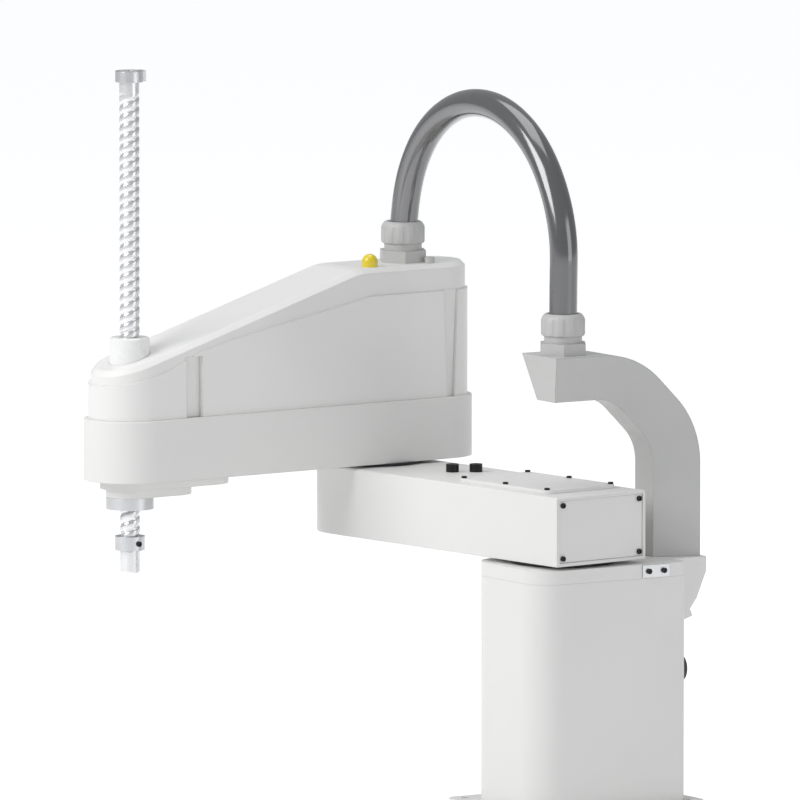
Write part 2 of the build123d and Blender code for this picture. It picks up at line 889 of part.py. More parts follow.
# The dark ring between column and arm, with the hub that the reducer turns
with BuildPart() as shoulder_output:
    with BuildSketch(Plane.XY.offset(base_top + free_gap)):
        Circle(output_radius)
    extrude(amount=turn_gap - free_gap)
    with BuildSketch(Plane.XY.offset(base_top + free_gap)):
        Circle(output_hub_radius)
    extrude(amount=-output_hub_depth)
    with BuildSketch(Plane.XY.offset(arm_bottom)):
        Circle(cable_bore)
    extrude(amount=-turn_gap - output_hub_depth - 1, mode=Mode.SUBTRACT)
save(shoulder_output.part, "shoulder_output")

# Elbow reducer in the arm's nose
with BuildPart() as elbow_reducer:
    with BuildSketch(on_forearm(arm_top - elbow_reducer_depth)):
        Circle(elbow_reducer_radius - running_gap)
    extrude(amount=elbow_reducer_depth)
    with BuildSketch(on_forearm(arm_top)):
        Circle(elbow_hub_radius + running_gap)
    extrude(amount=-elbow_hub_depth - 1, mode=Mode.SUBTRACT)
save(elbow_reducer.part, "elbow_reducer")

# Conduit from the duct to the forearm, in one sweep of straight runs and arcs
far = Vector(arm_gland.X, arm_gland.Y, 0)
span = far.length
heading = far.normalized()
near_seat = duct_top + conduit_seat
far_seat = cover_peak + conduit_seat


def route_point(distance, z):
    return (heading.X * distance, heading.Y * distance, z)


conduit_route = [
    route_point(0, near_seat),
    route_point(0, near_seat + conduit_first_run),
    route_point(-conduit_bow, duct_top + conduit_rise),
    route_point(conduit_shoulder_in, duct_top + conduit_shoulder),
    route_point(conduit_crown_in, duct_top + conduit_crown),
    route_point(span - conduit_crown_in, duct_top + conduit_crown),
    route_point(span - conduit_shoulder_in, duct_top + conduit_shoulder),
    route_point(span, duct_top + conduit_rise),
    route_point(span, far_seat),
]


def route_radii(points):
    """The arc at each turn of a route, as wide as its shorter run allows."""
    radii = []
    for before, here, after in zip(points, points[1:], points[2:]):
        into = Vector(*here) - Vector(*before)
        out = Vector(*after) - Vector(*here)
        half = radians(into.get_angle(out)) / 2
        radii.append(0.45 * min(into.length, out.length) / tan(half))
    return radii


conduit_radii = route_radii(conduit_route)
with BuildPart() as conduit:
    with BuildLine() as conduit_line:
        FilletPolyline(*conduit_route, radius=conduit_radii)
    start = Plane(origin=conduit_line.line @ 0, z_dir=conduit_line.line % 0)
    with BuildSketch(start):
        Circle(conduit_radius)
    sweep(path=conduit_line.line)
save(conduit.part, "conduit")
print("conduit arcs", [round(radius, 1) for radius in conduit_radii])
print("conduit length", round(conduit_line.wires()[0].length, 1))

# Forearm pan
wrist_bore = nut_radius + 2 * free_gap
with BuildPart() as forearm_pan:
    with BuildSketch(on_forearm(pan_bottom)):
        add(arm_outline(pan_tail, forearm, pan_half_width))
    extrude(amount=pan_height)
    chamfer(forearm_pan.edges().group_by(Axis.Z)[-1], pan_edge)
    with BuildSketch(on_forearm(pan_floor_top)):
        add(arm_outline(pan_tail, forearm, pan_half_width - pan_wall))
    extrude(amount=pan_height - pan_floor - pan_lip, mode=Mode.SUBTRACT)
    with BuildSketch(on_forearm(pan_top)):
        add(arm_outline(pan_tail, forearm, pan_half_width - pan_wall - pan_lip_reach))
    extrude(amount=-pan_lip - 1, mode=Mode.SUBTRACT)
    with BuildSketch(on_wrist(pan_floor_top)):
        Circle(bearing_radius + bearing_seat)
    extrude(amount=bearing_width - pan_floor / 2)
    with BuildSketch(on_wrist(bearing_level)):
        Circle(bearing_radius)
    extrude(amount=bearing_width + 1, mode=Mode.SUBTRACT)
    with BuildSketch(on_wrist(pan_bottom)):
        Circle(wrist_bore)
    extrude(amount=pan_floor, mode=Mode.SUBTRACT)
    with BuildSketch(on_forearm(pan_bottom)):
        Circle(pilot_radius)
    extrude(amount=pan_floor, mode=Mode.SUBTRACT)
save(forearm_pan.part, "forearm_pan")


def roof_height(along):
    return cover_top - roof_fall * max(0.0, along - roof_flat_end)


def forearm_block(half_width, crest, lower):
    """The space over the pan inside a plan outline and under a crest line."""
    tail = pan_tail + half_width
    with BuildPart() as block:
        with BuildSketch(on_forearm(pan_top)):
            add(arm_outline(pan_tail, forearm, half_width))
        extrude(amount=cover_top)
        with BuildSketch(upright(elbow, forearm_heading, pan_top)):
            with BuildLine():
                Polyline(
                    (-tail - 1, 0),
                    (-tail - 1, crest[0][1] - lower),
                    *[(along, height - lower) for along, height in crest],
                    (crest[-1][0], 0),
                    close=True,
                )
            make_face()
        extrude(amount=pan_half_width, both=True, mode=Mode.INTERSECT)
    return block.part


roof_crest = ((roof_flat_end, cover_top), (front_end, roof_height(front_end)))

# Forearm cover: a moulded shell with a raised side panel between two upright slots
with BuildPart() as forearm_cover:
    add(forearm_block(band_half_width, roof_crest, 0.0))
    top_edges = forearm_cover.edges().filter_by(lambda edge: edge.center().Z > pan_top + 1)
    top_edges = top_edges.filter_by(lambda edge: edge.bounding_box().size.Z < 0.9 * edge.length)
    chamfer(top_edges, roof_edge)
    add(forearm_block(cover_half_width, crest_points, 0.0))
    add(forearm_block(band_half_width - cover_wall, roof_crest, cover_wall), mode=Mode.SUBTRACT)
    with BuildSketch(upright(elbow, forearm_heading, pan_top)):
        with Locations(((front_slot_start + front_slot_end) / 2, front_slot_height / 2)):
            Rectangle(front_slot_end - front_slot_start, front_slot_height)
    extrude(amount=pan_half_width, both=True, mode=Mode.SUBTRACT)
    for side in (-1, 1):
        slot_bed = cover_half_width - rear_slot_depth
        with BuildSketch(upright(elbow, forearm_heading, pan_top).offset(side * slot_bed)):
            with BuildLine():
                Polyline(
                    (rear_slot_front, crest_level + 1),
                    (rear_slot_front - rear_slot_top_width, crest_level + 1),
                    (rear_slot_front - rear_slot_rake - rear_slot_foot_width, -1),
                    (rear_slot_front - rear_slot_rake, -1),
                    close=True,
                )
            make_face()
        extrude(amount=side * pan_half_width, mode=Mode.SUBTRACT)
    with BuildSketch(on_forearm(cover_peak)):
        with Locations((-arm_gland_behind, 0)):
            Circle(gland_thread_radius)
        with Locations(lamp_at, fitting_at):
            Circle(screw_shank + screw_fit)
    extrude(amount=-cover_wall - 1, mode=Mode.SUBTRACT)
    with BuildSketch(on_wrist(cover_peak)):
        Circle(sleeve_radius + seat_gap)
    extrude(amount=-cover_top - 1, mode=Mode.SUBTRACT)
save(forearm_cover.part, "forearm_cover")

# Dark strips behind the cover's front slots
vent_height = front_slot_height + vent_overlap
with BuildPart() as vent_strips:
    for side in (-1, 1):
        strip_face = upright(elbow, forearm_heading, pan_top).offset(side * (band_half_width - cover_wall))
        with BuildSketch(strip_face):
            with Locations(((front_slot_start + front_slot_end) / 2, vent_height / 2)):
                Rectangle(front_slot_width + 2 * vent_overlap, vent_height)
        extrude(amount=-side * vent_thickness)
save(vent_strips.part, "vent_strips")

# The ring and hub that the elbow reducer turns
with BuildPart() as elbow_output:
    with BuildSketch(on_forearm(arm_top + free_gap)):
        Circle(elbow_output_radius)
    extrude(amount=elbow_gap - free_gap)
    with BuildSketch(on_forearm(arm_top + free_gap)):
        Circle(elbow_hub_radius)
    extrude(amount=-elbow_hub_depth)
    with BuildSketch(on_forearm(pan_bottom)):
        Circle(motor_shaft_radius + free_gap)
    extrude(amount=-elbow_gap - elbow_hub_depth - 1, mode=Mode.SUBTRACT)
save(elbow_output.part, "elbow_output")
elbow_shaft_length = pan_floor + elbow_gap + elbow_hub_depth - elbow_shaft_recess
save(
    motor(on_forearm(pan_floor_top), elbow_motor_size, elbow_motor_length, elbow_shaft_length),
    "elbow_motor",
)

# Belt drive that turns the shaft
turn_rise = turn_plate_level - pan_floor_top
turn_mount = level(elbow + Vector(turn_motor_at, 0, 0).rotate(Axis.Z, forearm_heading), forearm_heading, 0)
turn_mount_top = turn_plate_level + bracket_thickness
save(motor_bracket(turn_mount.offset(pan_floor_top), turn_rise, pilot_radius), "turn_bracket")
save(motor(turn_mount.offset(turn_mount_top), turn_motor_size, turn_motor_length), "turn_motor")
save(motor_pulley(turn_mount.offset(spline_pulley_level), turn_mount_top), "turn_motor_pulley")
save(belt_loop(on_wrist(spline_pulley_level), forearm - turn_motor_at), "turn_belt")

# Belt drive that lifts the shaft
lift_rise = lift_plate_level - pan_floor_top
lift_mount = level(elbow + Vector(lift_motor_at, 0, 0).rotate(Axis.Z, forearm_heading), forearm_heading, 0)
lift_mount_top = lift_plate_level + bracket_thickness
save(motor_bracket(lift_mount.offset(pan_floor_top), lift_rise, pilot_radius), "lift_bracket")
save(motor(lift_mount.offset(lift_mount_top), lift_motor_size, lift_motor_length), "lift_motor")
save(motor_pulley(lift_mount.offset(screw_pulley_level), lift_mount_top), "lift_motor_pulley")
save(belt_loop(on_wrist(screw_pulley_level), forearm - lift_motor_at), "lift_belt")

# Bench over the wrist that carries the screw nut's bearing
with BuildPart() as nut_bracket:
    with BuildSketch(on_wrist(pan_floor_top)):
        for side in (-1, 1):
            with Locations((0, side * (nut_bracket_half_width - bracket_wall / 2))):
                Rectangle(nut_bracket_length, bracket_wall)
    extrude(amount=lift_plate_level - pan_floor_top)
    with BuildSketch(on_wrist(lift_plate_level)):
        Rectangle(nut_bracket_length, 2 * nut_bracket_half_width)
    extrude(amount=nut_plate_thickness)
    with BuildSketch(on_forearm(pan_floor_top)):
        add(arm_outline(pan_tail, forearm, band_half_width - cover_wall - free_gap))
    extrude(amount=nut_plate_top, mode=Mode.INTERSECT)
    with BuildSketch(on_wrist(lift_plate_level + bearing_lip)):
        Circle(bearing_radius)
    extrude(amount=nut_plate_thickness, mode=Mode.SUBTRACT)
    with BuildSketch(on_wrist(lift_plate_level)):
        Circle(wrist_bore)
    extrude(amount=nut_plate_thickness, mode=Mode.SUBTRACT)
save(nut_bracket.part, "nut_bracket")

bearing_outer = bearing_radius - running_gap
bearing_inner = nut_radius + running_gap
save(disc(on_wrist(bearing_level), bearing_outer, bearing_width, bearing_inner), "spline_bearing")
save(
    disc(
        on_wrist(lift_plate_level + bearing_lip),
        bearing_outer,
        nut_plate_thickness - bearing_lip,
        bearing_inner,
    ),
    "screw_bearing",
)

# Sleeve round the shaft at the front of the cover
with BuildPart() as shaft_sleeve:
    with BuildSketch(on_wrist(nut_plate_top)):
        Circle(sleeve_radius)
    extrude(amount=sleeve_top - nut_plate_top)
    chamfer(shaft_sleeve.edges().group_by(Axis.Z)[-1], sleeve_edge)
    with BuildSketch(on_wrist(nut_plate_top)):
        Circle(sleeve_radius - sleeve_wall)
    extrude(amount=sleeve_top - nut_plate_top - sleeve_cap, mode=Mode.SUBTRACT)
    with BuildSketch(on_wrist(nut_plate_top)):
        Circle(shaft_radius + free_gap + seat_gap)
    extrude(amount=sleeve_top - nut_plate_top + 1, mode=Mode.SUBTRACT)
save(shaft_sleeve.part, "shaft_sleeve")

# Stepped flange and boss under the pan
with BuildPart() as wrist_flange:
    with BuildSketch(on_wrist(flange_bottom)):
        add(oval(flange_reach, flange_radius))
    extrude(amount=flange_thickness)
    with BuildSketch(on_wrist(step_bottom)):
        add(oval(step_reach, step_radius))
    extrude(amount=step_thickness)
    with BuildSketch(on_wrist(step_bottom)):
        Circle(wrist_bore)
    extrude(amount=step_thickness + flange_thickness, mode=Mode.SUBTRACT)
save(wrist_flange.part, "wrist_flange")
save(disc(on_wrist(boss_bottom), boss_radius, boss_height, wrist_bore), "wrist_boss")

# Nuts and pulleys that turn on the shaft's axis
nut_axis = on_wrist(0)
spline_nut_high = spline_pulley_level + pulley_width
save(belt_nut(nut_axis, spline_nut_low, spline_nut_high, spline_pulley_level), "spline_nut")
save(belt_pulley(on_wrist(spline_pulley_level), pulley_radius, nut_radius + running_gap), "spline_pulley")
screw_nut_low = screw_pulley_level - screw_nut_tail
screw_nut_high = nut_plate_top + screw_nut_stand
save(belt_nut(nut_axis, screw_nut_low, screw_nut_high, screw_pulley_level), "screw_nut")
save(belt_pulley(on_wrist(screw_pulley_level), pulley_radius, nut_radius + running_gap), "screw_pulley")

# Shaft with its clamp ring above and collar below, and a relief that ends the seat for the tool
with BuildPart() as shaft:
    add(disc(on_wrist(shaft_low), shaft_radius, shaft_length, shaft_bore))
    with BuildSketch(on_wrist(shaft_low + shaft_end_length)):
        Circle(shaft_radius + 1)
        Circle(shaft_radius - shaft_relief_depth, mode=Mode.SUBTRACT)
    extrude(amount=shaft_relief_width, mode=Mode.SUBTRACT)
save(shaft.part, "shaft")
with BuildPart() as top_clamp:
    with BuildSketch(on_wrist(shaft_high - clamp_height)):
        Circle(clamp_radius)
        with Locations((-clamp_radius, 0)):
            Rectangle(2 * clamp_lug, clamp_lug_width)
        Circle(shaft_radius + running_gap, mode=Mode.SUBTRACT)
    extrude(amount=clamp_height)
save(top_clamp.part, "top_clamp")

collar_side = Plane(
    origin=(wrist.X, wrist.Y, 0),
    x_dir=Vector(1, 0, 0).rotate(Axis.Z, forearm_heading),
    z_dir=Vector(0, 1, 0).rotate(Axis.Z, forearm_heading),
)
collar_screw_spots = [(0, -collar_low - collar_height / 2)]
with BuildPart() as lower_collar:
    with BuildSketch(on_wrist(collar_low)):
        Circle(collar_radius)
        Circle(shaft_radius + running_gap, mode=Mode.SUBTRACT)
    extrude(amount=collar_height)
    with BuildSketch(collar_side):
        with Locations(*collar_screw_spots):
            Circle(screw_shank + screw_fit)
    extrude(amount=collar_radius + 1, mode=Mode.SUBTRACT)
save(lower_collar.part, "lower_collar")
save(
    screws(
        collar_side.offset(collar_radius),
        collar_screw_spots,
        screw_head,
        screw_head_height,
        screw_shank,
        collar_radius - shaft_radius - 2 * running_gap,
    ),
    "collar_screw",
)

# Gland, lamp and blanking plug on the cover's flat top
gland_spot = level(arm_gland, forearm_heading, cover_peak)
save(gland_body(gland_spot), "arm_gland_body")
save(gland_nut(gland_spot), "arm_gland_nut")
lamp_spot = elbow + Vector(*lamp_at, 0).rotate(Axis.Z, forearm_heading)
with BuildPart() as status_lamp:
    with BuildSketch(upright(lamp_spot, forearm_heading, cover_peak)) as lamp_half:
        with BuildLine():
            Line((0, 0), (lamp_radius, 0))
            Line((lamp_radius, 0), (lamp_radius, lamp_height))
            RadiusArc((lamp_radius, lamp_height), (0, lamp_height + lamp_radius), -lamp_radius)
            Line((0, lamp_height + lamp_radius), (0, 0))
        make_face()
    revolve(axis=Axis((lamp_spot.X, lamp_spot.Y, 0), (0, 0, 1)))
    with BuildSketch(on_forearm(cover_peak)):
        with Locations(lamp_at):
            Circle(screw_shank)
    extrude(amount=-cover_wall)
save(status_lamp.part, "status_lamp")
with BuildPart() as top_fitting:
    with BuildSketch(on_forearm(cover_peak)):
        with Locations(fitting_at):
            Circle(fitting_radius)
    extrude(amount=fitting_height)
    with BuildSketch(on_forearm(cover_peak)):
        with Locations(fitting_at):
            Circle(screw_shank)
    extrude(amount=-cover_wall)
save(top_fitting.part, "top_fitting")
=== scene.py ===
import json
import math

import bmesh
import bpy
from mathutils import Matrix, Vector


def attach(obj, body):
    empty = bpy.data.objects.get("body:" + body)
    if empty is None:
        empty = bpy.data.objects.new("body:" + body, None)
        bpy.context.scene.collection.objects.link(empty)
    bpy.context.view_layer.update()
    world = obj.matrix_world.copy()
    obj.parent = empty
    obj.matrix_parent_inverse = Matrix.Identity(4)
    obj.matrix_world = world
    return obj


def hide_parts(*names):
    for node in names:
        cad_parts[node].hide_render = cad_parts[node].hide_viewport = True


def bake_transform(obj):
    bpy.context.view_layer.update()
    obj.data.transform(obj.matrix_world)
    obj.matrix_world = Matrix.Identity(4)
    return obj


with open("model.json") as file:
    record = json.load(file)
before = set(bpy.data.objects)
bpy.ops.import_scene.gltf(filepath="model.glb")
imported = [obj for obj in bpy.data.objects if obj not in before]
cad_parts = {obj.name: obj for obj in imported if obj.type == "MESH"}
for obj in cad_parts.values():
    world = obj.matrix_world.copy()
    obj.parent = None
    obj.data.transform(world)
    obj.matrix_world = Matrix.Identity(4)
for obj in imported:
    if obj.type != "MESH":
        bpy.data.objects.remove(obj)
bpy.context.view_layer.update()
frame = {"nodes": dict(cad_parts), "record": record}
NODES = frame["nodes"]
RECORD = frame["record"]
MM = 0.001

# Plan of the robot, the same as in the part's source
SHOULDER_HEADING = math.radians(-83.0)
FOREARM_HEADING = math.radians(4.0)
LINK_LENGTH = 0.3
GLAND_BEHIND_ELBOW = 0.0368
ELBOW = Vector((LINK_LENGTH * math.cos(SHOULDER_HEADING), LINK_LENGTH * math.sin(SHOULDER_HEADING), 0))
ALONG = Vector((math.cos(FOREARM_HEADING), math.sin(FOREARM_HEADING), 0))
WRIST = ELBOW + ALONG * LINK_LENGTH
ARM_GLAND = ELBOW - ALONG * GLAND_BEHIND_ELBOW
DUCT_TOP = 0.4625
COVER_PEAK = 0.5285
UP = Vector((0, 0, 1))


def link(obj):
    """Puts an object into the scene."""
    bpy.context.scene.collection.objects.link(obj)
    return obj


def make_object(name, bm, smooth=True):
    """Turns a bmesh into a linked object."""
    mesh = bpy.data.meshes.new(name)
    bmesh.ops.recalc_face_normals(bm, faces=bm.faces)
    bm.to_mesh(mesh)
    bm.free()
    for face in mesh.polygons:
        face.use_smooth = smooth
    return link(bpy.data.objects.new(name, mesh))


# Camera: a long lens at the photograph's angle, one millimetre of the robot to a pixel
LOOK = Vector((-0.530, -0.848, 0)).normalized()
ELEVATION = math.radians(6.5)
forward = LOOK * math.cos(ELEVATION) - UP * math.sin(ELEVATION)
side = forward.cross(UP).normalized()
above = side.cross(forward)
LENS = 800.0
SENSOR = 36.0
VIEW_WIDTH = 0.8
DISTANCE = VIEW_WIDTH * LENS / SENSOR
AIM_SIDE = -0.162
AIM_ABOVE = 0.41404
AIM_FORWARD = 0.06
camera_data = bpy.data.cameras.new("camera")
camera_data.lens = LENS
camera_data.sensor_width = SENSOR
camera_data.clip_start = 0.5
camera_data.clip_end = 60.0
camera = link(bpy.data.objects.new("camera", camera_data))
camera.location = side * AIM_SIDE + above * AIM_ABOVE + forward * (AIM_FORWARD - DISTANCE)
camera.rotation_mode = "QUATERNION"
camera.rotation_quaternion = forward.to_track_quat("-Z", "Y")
bpy.context.scene.camera = camera


# Materials
def shader(name):
    """A new node material: its nodes, its links and its main shader."""
    material = bpy.data.materials.new(name)
    material.use_nodes = True
    tree = material.node_tree
    return material, tree.nodes, tree.links, tree.nodes["Principled BSDF"]


PATCH_SCALE = 7.0
FLECK_SCALE = 55.0
RELIEF_DEPTH = 0.0004
COAT_ROUGHNESS = 0.12


def noise(nodes, links, scale, detail=3.0, rough=0.5):
    """A noise texture in the object's own metres."""
    place = nodes.new("ShaderNodeTexCoord")
    tex = nodes.new("ShaderNodeTexNoise")
    tex.inputs["Scale"].default_value = scale
    tex.inputs["Detail"].default_value = detail
    tex.inputs["Roughness"].default_value = rough
    links.new(place.outputs["Object"], tex.inputs["Vector"])
    return tex.outputs["Fac"]


def remap(nodes, links, source, low, high, start=0.3, stop=0.7):
    """A noise value brought into a range."""
    node = nodes.new("ShaderNodeMapRange")
    node.inputs["From Min"].default_value = start
    node.inputs["From Max"].default_value = stop
    node.inputs["To Min"].default_value = low
    node.inputs["To Max"].default_value = high
    links.new(source, node.inputs["Value"])
    return node.outputs["Result"]


def blend_colours(nodes, links, factor, first, second):
    """A colour between two, by a factor socket."""
    mix = nodes.new("ShaderNodeMix")
    mix.data_type = "RGBA"
    mix.inputs[6].default_value = (*first, 1)
    mix.inputs[7].default_value = (*second, 1)
    links.new(factor, mix.inputs[0])
    return mix.outputs[2]


def shade(colour, factor):
    """A colour made darker or lighter."""
    return tuple(min(1.0, value * factor) for value in colour)


def finish(
    name, colour, roughness=0.5, metal=0.0, grain=900.0, bump=0.02, edge=0.0008,
    coat=0.0, tone=0.04, spread=0.08,
):
    """A surface with uneven tone, uneven gloss, fine grain and rounded edges."""
    material, nodes, links, main = shader(name)
    patches = noise(nodes, links, PATCH_SCALE, 4.0)
    fleck = noise(nodes, links, FLECK_SCALE, 5.0, 0.6)
    amount = remap(nodes, links, patches, 0.0, 1.0)
    darker = shade(colour, 1.0 - tone)
    lighter = shade(colour, 1.0 + tone * 0.5)
    base = blend_colours(nodes, links, amount, darker, lighter)
    links.new(base, main.inputs["Base Color"])
    links.new(remap(nodes, links, fleck, roughness - spread, roughness + spread), main.inputs["Roughness"])
    main.inputs["Metallic"].default_value = metal
    main.inputs["Coat Weight"].default_value = coat
    main.inputs["Coat Roughness"].default_value = COAT_ROUGHNESS
    relief = nodes.new("ShaderNodeBump")
    relief.inputs["Strength"].default_value = bump
    relief.inputs["Distance"].default_value = RELIEF_DEPTH
    links.new(noise(nodes, links, grain, 2.0), relief.inputs["Height"])
    if edge:
        corner = nodes.new("ShaderNodeBevel")
        corner.samples = 6
        corner.inputs["Radius"].default_value = edge
        links.new(corner.outputs["Normal"], relief.inputs["Normal"])
    links.new(relief.outputs["Normal"], main.inputs["Normal"])
    return material


WHITE = (0.80, 0.795, 0.78)
MATERIALS = {
    "casting": finish(
        "casting_paint", WHITE, 0.42, grain=700.0, bump=0.05, edge=0.0012, tone=0.02, spread=0.04
    ),
    "duct": finish("duct_paint", (0.55, 0.55, 0.54), 0.5, grain=600.0, bump=0.1, edge=0.0015),
    "cover": finish(
        "cover_moulding", (0.83, 0.825, 0.81), 0.34,
        grain=500.0, bump=0.02, edge=0.0015, coat=0.1, tone=0.015, spread=0.03,
    ),
    "gland": finish("gland_nylon", (0.52, 0.52, 0.51), 0.42, grain=900.0, bump=0.05, edge=0.0007),
    "conduit": finish(
        "conduit_gloss", (0.17, 0.17, 0.175), 0.16,
        metal=0.6, grain=300.0, bump=0.01, edge=0.0, coat=0.5, spread=0.03,
    ),
    # dark_metal: the joint flanges' own dark colour, which at the elbow also stands in as painted shade
    # for the gap under the forearm
    "dark_metal": finish("dark_anodised_and_gap_shade", (0.022, 0.022, 0.024), 0.4, metal=0.4, bump=0.05),
    "steel": finish("ground_steel", (0.42, 0.42, 0.43), 0.3, metal=1.0, grain=1500.0, bump=0.04),
    "screw": finish("black_screw", (0.02, 0.02, 0.022), 0.38, metal=0.6, bump=0.03, edge=0.0003),
    "shaft": finish(
        "shaft_steel", (0.74, 0.74, 0.75), 0.26, metal=0.65, grain=1800.0, bump=0.02, edge=0.0004
    ),
    "sleeve": finish(
        "sleeve_plastic", (0.86, 0.86, 0.85), 0.3, grain=500.0, bump=0.03, edge=0.0005, coat=0.2
    ),
    "bare_metal": finish(
        "machined_metal", (0.58, 0.59, 0.60), 0.32, metal=0.9, grain=1400.0, bump=0.04, edge=0.0005
    ),
    "belt": finish("belt_rubber", (0.02, 0.02, 0.02), 0.75, bump=0.1),
    "lamp": finish("lamp_yellow", (0.80, 0.62, 0.02), 0.22, grain=400.0, bump=0.02, edge=0.0005, coat=0.5),
    "black_plastic": finish("black_plastic", (0.03, 0.03, 0.032), 0.5, bump=0.06, edge=0.0005),
}
for entry in RECORD["subparts"]:
    node = NODES[entry["node"]]
    node.data.materials.clear()
    node.data.materials.append(MATERIALS[entry["material_slot"]])


def dress(obj, material, body):
    """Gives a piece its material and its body."""
    obj.data.materials.clear()
    obj.data.materials.append(material)
    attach(obj, body)


# Conduit: one smooth line from the duct's gland to the forearm's, made as two tubes that meet at its crown
toward = Vector((ARM_GLAND.x, ARM_GLAND.y, 0)).normalized()
SPAN = Vector((ARM_GLAND.x, ARM_GLAND.y, 0)).length


def route_point(distance, z):
    """A point of the route: millimetres from the duct's gland towards the forearm's, and up."""
    return Vector((toward.x * distance * MM, toward.y * distance * MM, z * MM))


span_mm = SPAN / MM
ROUTE = [
    route_point(0, 466.5),
    route_point(0, 516.5),
    route_point(-2.5, 590.5),
    route_point(39, 661.5),
    route_point(110, 700.5),
    route_point(span_mm - 110, 700.5),
    route_point(span_mm - 39, 661.5),
    route_point(span_mm, 590.5),
    route_point(span_mm, 532.5),
]


def spline_points(points, resolution=16):
    """Points read along one NURBS spline with these control points."""
    data = bpy.data.curves.new("route", "CURVE")
    data.dimensions = "3D"
    spline = data.splines.new("NURBS")
    spline.points.add(len(points) - 1)
    for control, point in zip(spline.points, points):
        control.co = (*point, 1)
    spline.order_u = 3
    spline.use_endpoint_u = True
    spline.resolution_u = resolution
    curve = link(bpy.data.objects.new("route", data))
    bpy.context.view_layer.update()
    mesh = bpy.data.meshes.new_from_object(curve.evaluated_get(bpy.context.evaluated_depsgraph_get()))
    found = [vertex.co.copy() for vertex in mesh.vertices]
    bpy.data.objects.remove(curve)
    bpy.data.meshes.remove(mesh)
    return found


def tube(name, path, radius, segments=32):
    """A round tube along a path, closed at both ends."""
    bm = bmesh.new()
    rings = []
    across = None
    for index, point in enumerate(path):
        ahead = path[min(index + 1, len(path) - 1)] - path[max(index - 1, 0)]
        ahead.normalize()
        if across is None:
            across = ahead.orthogonal().normalized()
        across = (across - ahead * across.dot(ahead)).normalized()
        other = ahead.cross(across)
        ring = []
        for step in range(segments):
            turn = 2 * math.pi * step / segments
            offset = across * math.cos(turn) + other * math.sin(turn)
            ring.append(bm.verts.new(point + offset * radius))
        rings.append(ring)
    for first, second in zip(rings, rings[1:]):
        for step in range(segments):
            following = (step + 1) % segments
            bm.faces.new((first[step], first[following], second[following], second[step]))
    bm.faces.new(list(reversed(rings[0])))
    bm.faces.new(rings[-1])
    return make_object(name, bm)


line = spline_points(ROUTE)
crown = min(range(len(line)), key=lambda index: abs(line[index].dot(toward) - SPAN / 2))
rise_path = line[: crown + 1]
drop_path = line[crown:]
CONDUIT_RADIUS = 0.014
riser = tube("conduit_riser", rise_path, CONDUIT_RADIUS)
drop = tube("conduit_drop", drop_path, CONDUIT_RADIUS)
for piece, path in ((riser, rise_path), (drop, drop_path)):
    piece.data.materials.append(MATERIALS["conduit"])
    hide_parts("conduit")
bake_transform(riser)
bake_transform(drop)

# Splined screw shaft: two-start ball groove and three straight splines, hollow at its ends
SHAFT_LOW = 0.237
SHAFT_HIGH = 0.740
SHAFT_RADIUS = 0.010
SHAFT_BORE = 0.005
SHAFT_WELL = 0.03
SHAFT_CHAMFER = 0.0006
SHAFT_SEGMENTS = 60
SHAFT_ROW = 0.0011
PLAIN_END = 0.022
PLAIN_FADE = 0.006
GROOVE_PITCH = 0.010
GROOVE_HALF_WIDTH = 0.0026
GROOVE_DEPTH = 0.0011
SPLINES = 3
SPLINE_HALF_WIDTH = 0.0014
SPLINE_DEPTH = 0.0007


def shaft_radius(z, turn):
    """The shaft's radius at a height and an angle, with its grooves."""
    radius = SHAFT_RADIUS
    inside = min(z - SHAFT_LOW, SHAFT_HIGH - z)
    fade = max(0.0, min(1.0, (inside - PLAIN_END) / PLAIN_FADE))
    phase = ((z - SHAFT_LOW) / GROOVE_PITCH - turn / math.pi) % 1.0
    distance = min(phase, 1.0 - phase) * GROOVE_PITCH
    if distance < GROOVE_HALF_WIDTH:
        radius -= fade * GROOVE_DEPTH * math.cos(distance / GROOVE_HALF_WIDTH * math.pi / 2)
    spline = (turn * SPLINES / (2 * math.pi)) % 1.0
    gap = min(spline, 1.0 - spline) * 2 * math.pi * SHAFT_RADIUS / SPLINES
    if gap < SPLINE_HALF_WIDTH:
        radius -= fade * SPLINE_DEPTH
    return radius


def make_shaft():
    """The shaft's skin, ring by ring, with a bored well at each end."""
    bm = bmesh.new()
    segments = SHAFT_SEGMENTS
    rows = int((SHAFT_HIGH - SHAFT_LOW) / SHAFT_ROW)
    rings = []
    for row in range(rows + 1):
        z = SHAFT_LOW + (SHAFT_HIGH - SHAFT_LOW) * row / rows
        ring = []
        for step in range(segments):
            turn = 2 * math.pi * step / segments
            radius = shaft_radius(z, turn)
            if row in (0, rows):
                radius -= SHAFT_CHAMFER
            x = WRIST.x + radius * math.cos(turn)
            y = WRIST.y + radius * math.sin(turn)
            ring.append(bm.verts.new((x, y, z)))
        rings.append(ring)
    for first, second in zip(rings, rings[1:]):
        for step in range(segments):
            following = (step + 1) % segments
            bm.faces.new((first[step], first[following], second[following], second[step]))
    for ring, direction in ((rings[0], 1), (rings[-1], -1)):
        z = ring[0].co.z
        lip = []
        well = []
        for step in range(segments):
            turn = 2 * math.pi * step / segments
            x = WRIST.x + SHAFT_BORE * math.cos(turn)
            y = WRIST.y + SHAFT_BORE * math.sin(turn)
            lip.append(bm.verts.new((x, y, z)))
            well.append(bm.verts.new((x, y, z + direction * SHAFT_WELL)))
        for step in range(segments):
            following = (step + 1) % segments
            bm.faces.new((ring[step], ring[following], lip[following], lip[step]))
            bm.faces.new((lip[step], lip[following], well[following], well[step]))
        bm.faces.new(well)
    return make_object("splined_shaft", bm)


splined_shaft = make_shaft()
dress(splined_shaft, MATERIALS["shaft"], "quill")
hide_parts("shaft")


# Gland nuts with grip flutes
NUT_RADIUS = 0.022
NUT_BORE = 0.0146
NUT_SEAT = 0.019
NUT_HEIGHT = 0.022
FLUTE_DEPTH = 0.0009
FLUTE_SEGMENTS = 12
FLUTE_SHARE = 0.34
FLUTES = 12


